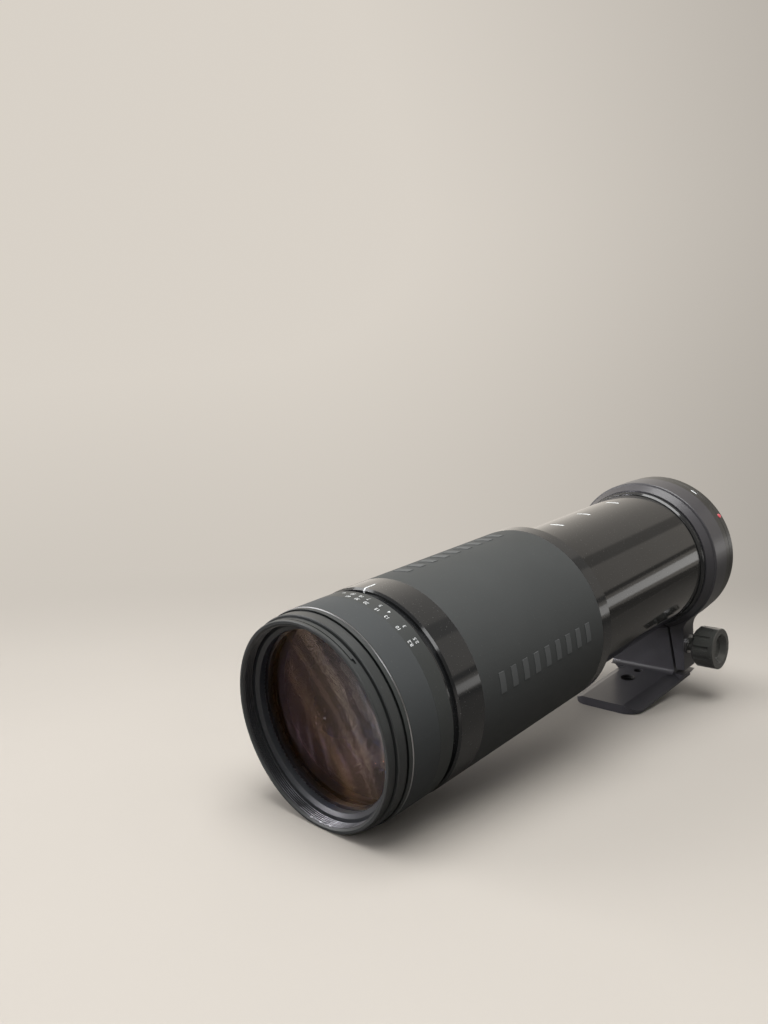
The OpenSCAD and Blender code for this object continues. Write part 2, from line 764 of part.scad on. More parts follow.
module rear_glass_front() {
    y_a = rear_cell_y + rear_lip;
    color("#8fb0b8", 0.5) glass(rear_glass_r, y_a, y_a + rear_edge, 2 * rear_curve_r, rear_curve_r);
}

module rear_glass_back() {
    y_b = rear_flange_back_y - rear_lip;
    color("#8fb0b8", 0.5) glass(rear_glass_r, y_b - rear_edge, y_b, rear_curve_r, 2 * rear_curve_r);
}

// Camera mount
module mount_screw_bars(y_a, y_b) {
    for (k = [1 : flange_screws]) rotate([0, (k - 0.5) * 360 / flange_screws, 0])
        bar_y(mount_screw_r, y_a, y_b, 0, mount_screw_ring);
}

module mount_adapter() {
    grip_back_y = adapter_y + adapter_grip_len;
    color("#202124") difference() {
        turned([[spigot_r, adapter_y], [adapter_r - edge, adapter_y], [adapter_r, adapter_y + edge],
            [adapter_r, grip_back_y - edge], [adapter_r - edge, grip_back_y], [adapter_cone_r, grip_back_y],
            [(adapter_cone_r + mount_r) / 2, (grip_back_y + adapter_back_y) / 2 - cone_hollow],
            [mount_r + cone_step, adapter_back_y], [lever_seat, adapter_back_y], [lever_seat, lever_step_y],
            [lever_seat - lever_lip, lever_step_y], [lever_seat - lever_lip, lever_step_y - lever_lip],
            [housing_bore, spigot_back_y], [spigot_r, spigot_back_y]]);
        index_bead_bar();
        mount_screw_bars(-mount_screw_len, over);
        scallop_bars(adapter_y + edge, grip_back_y + over);
    }
}

module scallop_bars(y_a, y_b) {
    for (group = [1 : scallop_groups], k = [1 : scallops]) {
        angle = scallop_angle + (group - 1) * 360 / scallop_groups + (k - (scallops + 1) / 2) * scallop_pitch;
        rotate([0, angle, 0]) bar_y(scallop_r, y_a, y_b, 0, adapter_r + scallop_r - scallop_depth);
    }
}

module index_bead_bar() {
    spoke(bead_r, adapter_r - over, adapter_r + edge, adapter_y + bead_at, bead_angle);
}

module index_bead() {
    color("#c02030") index_bead_bar();
}

module bayonet_flange() {
    claw_y = bayonet_len - claw_t - edge;
    color("silver") difference() {
        union() {
            turned([[throat_r, flange_front_y], [lever_seat, flange_front_y], [lever_seat, -mount_t],
                [mount_r, -mount_t], [mount_r, -edge], [mount_r - edge, 0], [bayonet_r, 0],
                [bayonet_r, bayonet_len], [throat_r, bayonet_len]]);
            for (k = [1 : claws])
                tube_arc(claw_r, bayonet_r - edge, claw_y, claw_y + claw_t, k * 360 / claws, claw_arc);
        }
        mount_screw_bars(-mount_screw_len, over);
    }
}

module mount_screws() {
    color("silver") difference() {
        mount_screw_bars(-mount_screw_len, -edge / 2);
        mount_cross();
    }
}

module mount_cross() {
    slot = mount_screw_r / 4;
    reach = mount_screw_r * cross_share;
    for (k = [1 : flange_screws])
        rotate([0, (k - 0.5) * 360 / flange_screws, 0]) translate([0, -edge / 2, mount_screw_ring])
            for (turn = [0, 90]) rotate([0, turn, 0])
                translate([-slot / 2, -slot, -reach]) cube([slot, slot + over, 2 * reach]);
}

module stop_down_lever() {
    tab_in = lever_tab_r - lever_tab_t;
    color("silver") {
        tube(lever_ring_r, lever_tab_r + lever_lip, lever_y, lever_y + lever_t);
        tube_arc(lever_tab_r + 2 * lever_lip, tab_in, lever_y, lever_y + lever_t, lever_angle, lever_tab_arc);
        tube_arc(lever_tab_r, tab_in, lever_y, bayonet_len - edge, lever_angle, lever_tab_arc);
    }
}

// Zoom sleeve with its rubber, felt and index line
module zoom_sleeve() {
    color("#151618") difference() {
        turned([[carrier_r, focus_back_y + free_gap], [carrier_r + nose_wall, focus_back_y + free_gap],
            [carrier_r + nose_wall, sleeve_y], [band_r - sleeve_lip, sleeve_y],
            [band_r, sleeve_y + sleeve_lip], [band_r, rubber_y], [sleeve_core_r, rubber_y],
            [sleeve_core_r, rubber_back_y], [band_r, rubber_back_y], [band_r, sleeve_back_y - sleeve_tail],
            [band_r - sleeve_tail, sleeve_back_y], [barrel_r + run_fit, sleeve_back_y],
            [barrel_r + run_fit, felt_y + felt_len], [felt_r, felt_y + felt_len], [felt_r, felt_y],
            [barrel_r + run_fit, felt_y], [barrel_r + run_fit, land_y], [sleeve_bore, land_y],
            [sleeve_bore, carrier_back_y + flange_over], [carrier_r, carrier_back_y + flange_over]]);
        key_block(key_w + 2 * run_fit, key_y - zoom_travel - edge, land_y,
            sleeve_bore - over, bush_r + key_h + free_gap);
        index_groove(band_r + over);
    }
}

module zoom_rubber() {
    mid_y = (rubber_y + rubber_back_y) / 2;
    pitch = grip_row_len / (grip_bars - 1 + grip_bar_w / grip_row_len);
    color("#2a2c2c") {
        tube(band_r, sleeve_core_r, rubber_y, rubber_back_y);
        for (row = [0 : grip_rows - 1], k = [0 : grip_bars - 1]) {
            y = mid_y + (k - (grip_bars - 1) / 2) * pitch;
            tube_arc(band_r + grip_bar_t, sleeve_core_r + rubber_t / 2, y - grip_bar_w / 2,
                y + grip_bar_w / 2, grip_row_angle + row * 360 / grip_rows - grip_bar_arc / 2, grip_bar_arc);
        }
    }
}

module zoom_felt() {
    color("#3a3a3a") tube(felt_r, barrel_r + free_gap, felt_y, felt_y + felt_len);
}

module index_groove(r_out) {
    arc = mark_w / band_r * 180 / PI;
    tube_arc(r_out, band_r - mark_depth, sleeve_y + sleeve_lip, sleeve_y + sleeve_lip + index_len,
        -arc / 2, arc);
}

module index_line() {
    color("white") index_groove(band_r);
}

// Focusing: the carrier is fixed in the sleeve, the ring turns on it and moves the cell by its pins
module pin_slots(r, y_a, y_b, r_in, r_out) {
    for (k = [1 : focus_pin_count]) rotate([0, (k - 0.5) * pin_step, 0]) {
        spoke(r, r_in, r_out, y_a, 0);
        spoke(r, r_in, r_out, y_b, 0);
        translate([-r, y_a, r_in]) cube([2 * r, y_b - y_a, r_out - r_in]);
    }
}

module focus_carrier() {
    lock_seat = carrier_r - lock_step;
    color("#8c8f92") difference() {
        turned([[carrier_bore, carrier_y], [lock_seat, carrier_y], [lock_seat, carrier_y + lock_t],
            [carrier_r, carrier_y + lock_t], [carrier_r, carrier_back_y], [carrier_bore, carrier_back_y]]);
        pin_slots(focus_pin_r + run_fit, pin_y - focus_near, pin_y + focus_far,
            carrier_bore - over, carrier_r + over);
    }
}

module carrier_lock_ring() {
    color("#8c8f92") tube(carrier_r + lock_over, carrier_r - lock_step, carrier_y, carrier_y + lock_t);
}

module focus_ring() {
    bore_front = rim_hold_r + free_gap;
    relief_r = pin_top + free_gap;
    relief_y = pin_y - focus_near - focus_pin_r - free_gap;
    relief_back_y = pin_y + focus_far + focus_pin_r + free_gap;
    lock_back_y = carrier_y + lock_t + free_gap;
    skirt_r = rim_back_r + free_gap;
    nose_y = focus_y + focus_nose;
    color("#202224") turned([[skirt_r, focus_y], [focus_r - nose_step, focus_y],
        [focus_r - nose_step, nose_y - nose_step], [focus_r, nose_y],
        [focus_r, focus_grip_y], [focus_r - focus_grip_t, focus_grip_y],
        [focus_r - focus_grip_t, focus_grip_y + focus_grip_len], [focus_r, focus_grip_y + focus_grip_len],
        [focus_r, focus_back_y - edge], [focus_r - edge, focus_back_y], [focus_bore, focus_back_y],
        [focus_bore, relief_back_y], [relief_r, relief_back_y], [relief_r, relief_y],
        [focus_bore, relief_y], [focus_bore, lock_back_y], [bore_front, lock_back_y],
        [bore_front, focus_y + focus_far], [skirt_r, focus_y + focus_far]]);
}

module focus_grip() {
    color("#2a2c2c") tube(focus_r, focus_r - focus_grip_t, focus_grip_y, focus_grip_y + focus_grip_len);
}

// Front rim, cell and glass
module front_rim() {
    slot_y = lip_y + hood_slot_at;
    groove_y = lip_y + rim_groove_at;
    groove_back_y = groove_y + rim_groove_w;
    groove_r = rim_r - rim_groove_depth;
    color("#17181a") difference() {
        turned([[filter_r + thread_lead, lip_y], [rim_r - edge, lip_y], [rim_r, lip_y + edge],
            [rim_r, groove_y], [groove_r, groove_y], [groove_r, groove_back_y],
            [rim_back_r - edge, groove_back_y], [rim_back_r, groove_back_y + edge],
            [rim_back_r, rim_back_y - edge / 2], [rim_back_r - edge / 2, rim_back_y],
            [rim_hold_r, rim_back_y], [rim_hold_r, hold_back_y], [cell_r, hold_back_y], [cell_r, glass_y],
            [filter_r, glass_y], [filter_r, lip_y + thread_lead]]);
        tube_arc(rim_r + over, groove_r, slot_y, slot_y + hood_slot_w,
            hood_slot_end - hood_slot_arc, hood_slot_arc);
        tube_arc(rim_r + 2 * over, groove_r - edge / 2, slot_y + hood_slot_w / 2,
            slot_y + hood_slot_w / 2 + notch_len, hood_slot_end - notch_arc / 2, notch_arc);
    }
}

module focus_pin_bars(r_in, r_out) {
    for (k = [1 : focus_pin_count]) spoke(focus_pin_r, r_in, r_out, pin_y, (k - 0.5) * pin_step);
}

module front_cell() {
    color("#1c1c1e") difference() {
        tube(cell_r, glass_r, glass_y, cell_back_y);
        focus_pin_bars(glass_r - over, cell_r + over);
    }
}

module focus_pins() {
    color("silver") focus_pin_bars(glass_r + edge / 2, pin_top);
}

module front_lock_ring() {
    lip_r = glass_r - cell_lip;
    bevel_r = filter_r - front_lock_face;
    low_y = glass_y - rise(lip_r, glass_r, front_curve_r) - run_fit;
    color("#2c2d30") turned([[filter_r, front_lock_y], [bevel_r, front_lock_y],
        [lip_r, front_lock_y + front_lock_bevel], [lip_r, low_y], [glass_r, glass_y], [filter_r, glass_y]]);
}

module front_glass() {
    color("#a080a0", 0.5) glass(glass_r, glass_y, spacer_y, front_curve_r, front_back_r);
}

module front_spacer() {
    color("#1c1c1e") turned([[glass_r, spacer_y], [glass_r, crown_y],
        [cell_lock_r, crown_y - rise(cell_lock_r, glass_r, crown_curve_r) - run_fit],
        [cell_lock_r, spacer_y + rise(cell_lock_r, glass_r, front_back_r) + run_fit]]);
}

module crown_glass() {
    color("#a080a0", 0.5) glass(glass_r, crown_y, flint_y, crown_curve_r, joint_curve_r);
}

module flint_glass() {
    color("#8fb0b8", 0.5) glass(glass_r, flint_y, cell_lock_y, -joint_curve_r, 0);
}

module cell_lock_ring() {
    color("#1c1c1e") tube(glass_r, cell_lock_r, cell_lock_y, cell_lock_y + cell_lock_len);
}

// Zoom glass in two cells that slide in the barrel
module sliding_cell(y, len, hole_r) {
    web_y = y + (len - zoom_edge - zoom_lock_len) / 2;
    wall = barrel_bore - run_fit - web_share * (barrel_bore - hole_r);
    turned([[wall, y], [barrel_bore - run_fit, y], [barrel_bore - run_fit, y + len], [wall, y + len],
        [wall, web_y + zoom_edge + zoom_lock_len], [hole_r, web_y + zoom_edge + zoom_lock_len],
        [hole_r, web_y], [wall, web_y]]);
}

module variator_cell() {
    color("#1c1c1e") sliding_cell(variator_y, variator_len, variator_glass_r);
}

module variator_glass() {
    color("#8fb0b8", 0.5) glass(variator_glass_r, variator_web_y, variator_web_y + zoom_edge,
        -zoom_curve_r, -zoom_curve_r);
}

module zoom_lock(r, y) {
    color("#2c2d30") tube(r, r - zoom_lock_len, y, y + zoom_lock_len);
}

module variator_lock_ring() {
    zoom_lock(variator_glass_r, variator_web_y + zoom_edge);
}

module compensator_cell() {
    color("#1c1c1e") sliding_cell(compensator_y, compensator_len, compensator_glass_r);
}

module compensator_glass() {
    color("#8fb0b8", 0.5) glass(compensator_glass_r, compensator_web_y, compensator_web_y + zoom_edge,
        zoom_curve_r, 0);
}

module compensator_lock_ring() {
    zoom_lock(compensator_glass_r, compensator_web_y + zoom_edge);
}

// Tripod collar: ring, cove, neck, cheek and foot plate are one casting
module collar_outline() {
    difference() {
        union() {
            circle(r = collar_r);
            polygon([[0, 0], [-blend_x * blend_share, blend_z * blend_share], [-half_neck, blend_z],
                [-half_neck, foot_top_z], [-foot_sole_w / 2, sole_z + foot_edge],
                [foot_sole_w / 2, sole_z + foot_edge], [half_neck, foot_top_z],
                [half_neck, blend_z], [blend_x * blend_share, blend_z * blend_share]]);
        }
        for (side = [-1, 1]) translate([side * blend_x, blend_z]) circle(r = neck_blend);
    }
}

module slit_outline() {
    slit_l = slit_low_x - slit_w / 2;
    polygon([[slit_top_x - slit_w / 2, slit_top_z], [slit_top_x + slit_w / 2, slit_top_z],
        [slit_l + slit_w, cheek_z], [half_neck + over, cheek_z], [half_neck + over, foot_top_z],
        [slit_l, foot_top_z]]);
}

module foot_plate() {
    half_top = foot_top_w / 2;
    half_sole = foot_sole_w / 2;
    intersection() {
        plate_y(toe_y, collar_back_y) polygon([[-half_sole, sole_z], [half_sole, sole_z],
            [half_sole, sole_z + foot_edge], [half_top, foot_top_z], [-half_top, foot_top_z],
            [-half_sole, sole_z + foot_edge]]);
        translate([0, 0, sole_z - over]) linear_extrude(foot_t + 2 * over) {
            translate([-half_sole - over, toe_y + foot_corner])
                square([foot_sole_w + 2 * over, foot_len]);
            translate([foot_corner - half_sole, toe_y])
                square([foot_sole_w - 2 * foot_corner, foot_len]);
            for (side = [-1, 1]) translate([side * (half_sole - foot_corner), toe_y + foot_corner])
                circle(r = foot_corner);
        }
    }
}

module neck_fillet() {
    length = half_neck + slit_low_x - slit_w;
    translate([-half_neck, 0, 0]) rotate([90, 0, 90]) linear_extrude(length) difference() {
        polygon([[collar_y - foot_blend, foot_top_z - edge], [collar_y + over, foot_top_z - edge],
            [collar_y + over, foot_top_z + foot_blend], [collar_y, foot_top_z + foot_blend],
            [collar_y - foot_blend, foot_top_z]]);
        translate([collar_y - foot_blend, foot_top_z + foot_blend]) circle(r = foot_blend);
    }
}

module tripod_collar() {
    cove_front_y = cove_y + ring_gap + edge / 2;
    cove_r = (collar_bore + collar_r) / 2;
    color("#232220") difference() {
        union() {
            plate_y(collar_y, collar_back_y) collar_outline();
            turned([[0, cove_front_y], [collar_bore + edge * 2, cove_front_y],
                [collar_r - 3 * edge, collar_y - 4 * edge], [collar_r - 5 * edge, collar_y - 3 * edge],
                [collar_r - edge, collar_y - 1.5 * edge], [collar_r, collar_y], [0, collar_y]]);
            foot_plate();
            neck_fillet();
        }
        bar_y(collar_bore, cove_y - over, collar_back_y + over);
        plate_y(cove_y - over, collar_back_y + over) slit_outline();
        bar_x(screw_r + run_fit, screw_x - edge, slit_mid_x, knob_y, knob_z);
        bar_x(screw_r + free_gap, slit_mid_x, half_neck + over, knob_y, knob_z);
        translate([-socket_side, collar_y - socket_small_at, sole_z - over])
            cylinder(r = socket_small_r, h = foot_t + 2 * over);
        translate([-socket_side, collar_y - socket_small_at - socket_pitch, sole_z - over])
            cylinder(r = socket_large_r, h = foot_t + 2 * over);
    }
}

module collar_lining() {
    color("#3a3a3a") difference() {
        tube(collar_bore - glue_gap, collar_bore - lining_t, cove_y + ring_gap + edge, collar_back_y - edge);
        plate_y(cove_y - over, collar_back_y + over) slit_outline();
    }
}

// Clamp knob on its screw, with the washer that it presses on the cheek
module clamp_washer() {
    color("silver") difference() {
        bar_x(washer_r, half_neck, half_neck + washer_t, knob_y, knob_z);
        bar_x(screw_r + run_fit, half_neck - over, half_neck + washer_t + over, knob_y, knob_z);
    }
}

module clamp_knob() {
    knob_end_x = knob_x + knob_len;
    color("#1d1e20") translate([0, knob_y, knob_z]) rotate([0, 90, 0]) difference() {
        rotate_extrude() polygon([[screw_r, hub_x], [hub_r, hub_x], [hub_r, knob_x],
            [knob_r - knob_chamfer, knob_x], [knob_r, knob_x + knob_chamfer], [knob_r, knob_end_x - edge],
            [knob_r - edge, knob_end_x], [knob_hollow_r, knob_end_x],
            [knob_hollow_r - knob_chamfer, knob_end_x - knob_hollow],
            [0, knob_end_x - knob_hollow], [0, knob_end_x - 2 * knob_hollow],
            [screw_r, knob_end_x - 2 * knob_hollow]]);
        for (k = [0 : flutes - 1]) rotate([0, 0, (k + 0.5) * 360 / flutes])
            translate([knob_r + flute_r / 4, 0, knob_x - over])
                cylinder(r = flute_r, h = knob_len - knob_rim + over);
    }
}

module clamp_screw() {
    color("silver") bar_x(screw_r, screw_x, knob_x + knob_len - 2 * knob_hollow, knob_y, knob_z);
}

fixed_barrel();
guide_bush();
guide_key();
focal_marks();
tail_ring();
rear_housing();
click_ball();
click_spring();
iris_housing();
rear_cell();
rear_glass_front();
rear_glass_back();
mount_adapter();
index_bead();
bayonet_flange();
mount_screws();
zoom_sleeve();
zoom_rubber();
zoom_felt();
index_line();
focus_carrier();
carrier_lock_ring();
focus_ring();
focus_grip();
front_rim();
front_cell();
front_lock_ring();
front_glass();
front_spacer();
crown_glass();
flint_glass();
cell_lock_ring();
focus_pins();
variator_cell();
variator_glass();
variator_lock_ring();
compensator_cell();
compensator_glass();
compensator_lock_ring();
aperture_ring();
aperture_pin();
aperture_drive_tube();
iris_blade(0);  // iris_blade_1
iris_blade(1);  // iris_blade_2
iris_blade(2);  // iris_blade_3
iris_blade(3);  // iris_blade_4
iris_blade(4);  // iris_blade_5
iris_blade(5);  // iris_blade_6
tripod_collar();
collar_lining();
clamp_washer();
clamp_knob();
clamp_screw();
stop_down_lever();
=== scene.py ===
# %% [markdown]
# # Super telephoto zoom lens
# The solids of the lens come ready made from the CAD model. This notebook dresses them: it sets
# the camera, the floor and the lamps, gives each piece its finish, and adds the fine detail that
# a workshop drawing leaves out, such as thread rings, rounded edges and printed numbers.

# %% Load the solids
import json
import math

import bmesh
import bpy
from mathutils import Matrix, Vector

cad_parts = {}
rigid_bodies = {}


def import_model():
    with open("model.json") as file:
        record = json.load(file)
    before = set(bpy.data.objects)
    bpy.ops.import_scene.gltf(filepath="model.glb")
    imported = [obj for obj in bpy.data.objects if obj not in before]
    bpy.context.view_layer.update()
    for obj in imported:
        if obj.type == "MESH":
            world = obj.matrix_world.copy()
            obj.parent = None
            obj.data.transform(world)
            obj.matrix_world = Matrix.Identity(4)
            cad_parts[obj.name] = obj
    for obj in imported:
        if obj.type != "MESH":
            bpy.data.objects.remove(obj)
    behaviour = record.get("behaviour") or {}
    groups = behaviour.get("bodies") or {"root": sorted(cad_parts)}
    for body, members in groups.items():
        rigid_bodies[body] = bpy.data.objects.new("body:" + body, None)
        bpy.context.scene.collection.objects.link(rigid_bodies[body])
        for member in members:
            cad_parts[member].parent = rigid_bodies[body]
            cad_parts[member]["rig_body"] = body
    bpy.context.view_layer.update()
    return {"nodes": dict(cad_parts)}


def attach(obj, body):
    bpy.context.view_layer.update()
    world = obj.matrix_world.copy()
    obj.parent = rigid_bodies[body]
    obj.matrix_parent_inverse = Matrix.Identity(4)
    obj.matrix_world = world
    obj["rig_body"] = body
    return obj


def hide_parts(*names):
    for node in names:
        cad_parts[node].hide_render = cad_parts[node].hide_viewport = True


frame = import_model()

nodes = frame["nodes"]
scene = bpy.context.scene
MM = 0.001

# %% [markdown]
# ## The camera
# The camera comes first, because everything else is judged through it. It stands in front of the
# lens, to its left and a little above. Its three directions are written down instead of angles,
# since a short list of numbers can't be read in the wrong order.

# %% Camera
camera_data = bpy.data.cameras.new("camera")
camera_data.sensor_fit = "AUTO"
camera_data.sensor_width = 36
camera_data.lens = 29.482
camera_data.clip_start = 0.01
camera_data.clip_end = 50
camera = bpy.data.objects.new("camera", camera_data)
scene.collection.objects.link(camera)
scene.camera = camera
camera_right = Vector((0.7147, 0.6917, -0.1040)).normalized()
camera_up = Vector((-0.0587, 0.2076, 0.9765))
camera_up = (camera_up - camera_right * camera_up.dot(camera_right)).normalized()
camera_back = camera_right.cross(camera_up)
camera_turn = Matrix((camera_right, camera_up, camera_back)).transposed().to_4x4()
camera.matrix_world = Matrix.Translation((0.279762, -0.577380, 0.161277)) @ camera_turn
scene.view_settings.view_transform = "Standard"
print("camera at", tuple(round(v, 3) for v in camera.location), "lens", camera_data.lens, "mm")

# %% [markdown]
# ## Shader sums in plain Python
# A finish is a small sum: some noise, times a number, plus another number. Typing a node for each
# step hides that. The class Value wraps one output of a node and knows how to add, multiply and
# divide, so a finish reads like the sum it is. Every other node comes from Board.node, which
# serves the finishes, the floor and the room alike.

# %% Value, Board and Finish
class Value:
    """An output that changes over a surface. Sums of it add their own Math nodes."""

    def __init__(self, board, socket):
        self.board = board
        self.socket = socket

    def math(self, operation, *terms):
        return self.board.node("ShaderNodeMath", {"operation": operation}, dict(enumerate(terms)))

    def __add__(self, other):
        return self.math("ADD", self, other)

    def __sub__(self, other):
        return self.math("SUBTRACT", self, other)

    def __rsub__(self, other):
        return self.math("SUBTRACT", other, self)

    def __mul__(self, other):
        return self.math("MULTIPLY", self, other)

    def __truediv__(self, other):
        return self.math("DIVIDE", self, other)

    __radd__ = __add__
    __rmul__ = __mul__

    def wave(self):
        return self.math("SINE", self)

    def between(self, low, high):
        """0 below low, 1 above high, and smooth in between."""
        return self.board.node("ShaderNodeMapRange", {"interpolation_type": "SMOOTHSTEP", "clamp": True},
                               {"Value": self, "From Min": low, "From Max": high})


class Board:
    """A tree of nodes, with short names for the ones that it uses."""

    def __init__(self, tree):
        self.tree = tree

    def node(self, kind, settings, values, output=0):
        made = self.tree.nodes.new(kind)
        for name, value in settings.items():
            setattr(made, name, value)
        for socket, value in values.items():
            if isinstance(value, Value):
                self.tree.links.new(value.socket, made.inputs[socket])
            else:
                made.inputs[socket].default_value = value
        return None if output is None else Value(self, made.outputs[output])

    def blend(self, factor, low, high):
        """A colour from low to high."""
        return self.node("ShaderNodeMix", {"data_type": "RGBA"}, {0: factor, 6: low, 7: high}, 2)

    def axes(self, vector):
        return [self.node("ShaderNodeSeparateXYZ", {}, {"Vector": vector}, k) for k in range(3)]

    def rays(self, *kinds):
        """1 for rays of these kinds, 0 for all others."""
        found = [self.node("ShaderNodeLightPath", {}, {}, f"Is {kind} Ray") for kind in kinds]
        total = found[0]
        for value in found[1:]:
            total = total.math("MAXIMUM", total, value)
        return total


class Finish(Board):
    """One material, with its Principled shader."""

    def __init__(self, name, **constants):
        self.material = bpy.data.materials.new(name)
        self.material.use_nodes = True
        super().__init__(self.material.node_tree)
        self.shader = self.tree.nodes["Principled BSDF"]
        for socket, value in constants.items():
            self.shader.inputs[socket.replace("_", " ")].default_value = value
        self.place = self.node("ShaderNodeTexCoord", {}, {}, "Object")

    def feed(self, socket, value):
        self.tree.links.new(value.socket, self.shader.inputs[socket])

    def noise(self, scale, detail=2.0, rough=0.5, stretch=(1, 1, 1), distortion=0.0):
        """Noise with grains about 1 / scale metres wide."""
        place = self.node("ShaderNodeMapping", {}, {"Vector": self.place, "Scale": stretch})
        return self.node("ShaderNodeTexNoise", {}, {"Vector": place, "Scale": scale, "Detail": detail,
                                                    "Roughness": rough, "Distortion": distortion})

    def bump(self, height, depth, strength=1.0):
        """Relief of that depth in metres."""
        self.feed("Normal", self.node("ShaderNodeBump", {}, {"Height": height, "Distance": depth,
                                                              "Strength": strength}))


def shade(colour, factor):
    """A colour made darker or paler, with its alpha."""
    return tuple(min(1.0, c * factor) for c in colour) + (1.0,)


print("helpers ready")

# %% [markdown]
# ## Floor, backdrop and lamps
# The lens rests on its front lip and on the toe of its foot, nose down by 9 degrees, so the floor
# is the plane through those two edges. Far from the lens the floor fades into the backdrop's own
# colour, which hides the horizon. Light Path tells a ray that goes to the eye, to a reflection or
# through glass from one that carries light: for the first three the backdrop is pale, and for the
# last the room and the floor are dim, so a pale room adds no light from below. The eye sees a pale
# floor. Mirrors and glass show it darker, with streaks of daylight right before the front glass,
# which stand for the streaks low in a real lens. The wall is palest at the left, where the day
# comes in. What the black enamel mirrors as bands along the barrel is a dark rail high on the wall
# behind the lens and a narrow one just above the horizon. Only reflections show these rails.

# %% Floor and backdrop
PALE = (0.690, 0.640, 0.575)
BLACK = (0, 0, 0, 1)
DAYLIGHT = (1.0, 0.92, 0.84, 1)
near_floor_in_mirrors = 0.22
far_floor_in_mirrors = 0.30
dim_floor = 0.08
streak_pitch = 0.013
streak_way = (-0.77, -0.64)
lip_along_way = 0.23
floor_r = 1.5
floor_behind_lip = 0.2
floor_slope = 0.16
lip_low = Vector((0, -362.0, -49.8)) * MM
toe_low = Vector((0, -114.0, -89.5)) * MM
floor_up = Vector((1, 0, 0)).cross(toe_low - lip_low).normalized()
floor_tilt = Vector((0, 0, 1)).rotation_difference(floor_up).to_matrix().to_4x4()


def falloff(aside, rise):
    """How pale the room is: palest towards the daylight at -X, and a little darker low down."""
    return (1.05 - aside.between(-0.8, -0.05) * 0.48) * (rise.between(-0.25, 0.15) * 0.15 + 0.85)


f = Finish("pale_floor", Roughness=0.7)
eye = f.rays("Camera")
shown = f.rays("Camera", "Glossy", "Transmission")
x, y, z = f.axes(f.place)
across = x * -streak_way[1] + y * streak_way[0]
beyond_lip = x * streak_way[0] + y * streak_way[1] - lip_along_way
stripes = (across * (2 * math.pi / streak_pitch) + f.noise(40) * 3).wave().between(0.2, 0.9)
before = (1 - beyond_lip.between(0.05, 0.12)) * (1 - y.between(-0.390, -0.365))
in_mirrors = f.blend(stripes * before, shade(PALE, near_floor_in_mirrors), DAYLIGHT)
plain = f.blend(f.noise(6, 3), shade(PALE, 0.80), shade(PALE, 0.85))
f.feed("Base Color", f.blend(shown, shade(PALE, dim_floor), f.blend(eye, in_mirrors, plain)))
reach = f.node("ShaderNodeVectorMath", {"operation": "DISTANCE"}, {0: f.place, 1: (0, -0.18, 0)}, "Value")
sight = f.node("ShaderNodeVectorMath", {"operation": "SUBTRACT"}, {0: f.place, 1: camera.location})
far = f.node("ShaderNodeVectorMath", {"operation": "LENGTH"}, {0: sight}, "Value")
x, y, z = f.axes(sight)
pale = falloff(x / far, z / far) * (eye * (1 - far_floor_in_mirrors) + far_floor_in_mirrors)
glow = f.node("ShaderNodeEmission", {}, {"Color": f.blend(pale, BLACK, (*PALE, 1))})
matt = Value(f, f.shader.outputs[0])
fade = f.node("ShaderNodeMixShader", {}, {0: shown * reach.between(0.26, 0.80), 1: matt, 2: glow})
f.tree.links.new(fade.socket, f.tree.nodes["Material Output"].inputs["Surface"])

floor_mesh = bpy.data.meshes.new("floor")
bm = bmesh.new()
bmesh.ops.create_circle(bm, cap_ends=True, segments=96, radius=floor_r)
floor_middle = lip_low + Vector((0, floor_behind_lip, -floor_behind_lip * floor_slope))
bmesh.ops.transform(bm, matrix=Matrix.Translation(floor_middle) @ floor_tilt, verts=bm.verts)
bm.to_mesh(floor_mesh)
bm.free()
floor = bpy.data.objects.new("floor", floor_mesh)
floor_mesh.materials.append(f.material)
scene.collection.objects.link(floor)

world = bpy.data.worlds.new("studio")
scene.world = world
world.use_nodes = True
air = Board(world.node_tree)
air.tree.nodes.clear()
look = air.node("ShaderNodeTexCoord", {}, {}, "Generated")
x, y, z = air.axes(look)
pale = falloff(x, z)
around = z.math("ARCTAN2", z, x)
high_rail = around.between(0.84, 0.90) - around.between(1.16, 1.24)
low_rail = around.between(0.02, 0.05) - around.between(0.13, 0.17)
rails = (high_rail * 0.50 + low_rail * 0.8) * y.between(0.3, 0.6)
behind_lens = y.between(-0.5, 0.1) * 0.7 + 0.3
mirrored = air.blend(pale * (1 - rails) * behind_lens, BLACK, shade(PALE, 1.42))
backdrop = air.blend(air.rays("Camera"), mirrored, air.blend(pale, BLACK, (*PALE, 1)))
shown = air.rays("Camera", "Glossy", "Transmission")
from_above = z.between(-0.4, 0.6) * 0.14 + 0.04
room = air.node("ShaderNodeBackground", {}, {"Color": (0.97, 0.98, 1.0, 1), "Strength": from_above})
paper = air.node("ShaderNodeBackground", {}, {"Color": backdrop})
choose = air.node("ShaderNodeMixShader", {}, {0: shown, 1: room, 2: paper})
air.node("ShaderNodeOutputWorld", {}, {"Surface": choose}, None)
print("floor leans", round(math.degrees(floor_up.angle(Vector((0, 0, 1)))), 2), "degrees")

# %% [markdown]
# ## Lamps
# Black enamel shows little light of its own: what tells its shape is what it mirrors. So the
# lamps are large rectangles, like windows. A low one behind at the right gives the barrel its
# bright stripe, and a soft one at the left lights the front. Three tube lamps stand in front, and
# the thread at the bottom of the rim mirrors them; its crests there also carry a painted highlight.

# %% Lamps
def window(name, place, target, width, height, power, colour=(1, 1, 1)):
    data = bpy.data.lights.new(name, "AREA")
    data.shape = "RECTANGLE"
    data.size = width
    data.size_y = height
    data.energy = power
    data.color = colour
    lamp = bpy.data.objects.new(name, data)
    scene.collection.objects.link(lamp)
    lamp.location = place
    lamp.rotation_mode = "QUATERNION"
    lamp.rotation_quaternion = (Vector(target) - Vector(place)).to_track_quat("-Z", "Y")


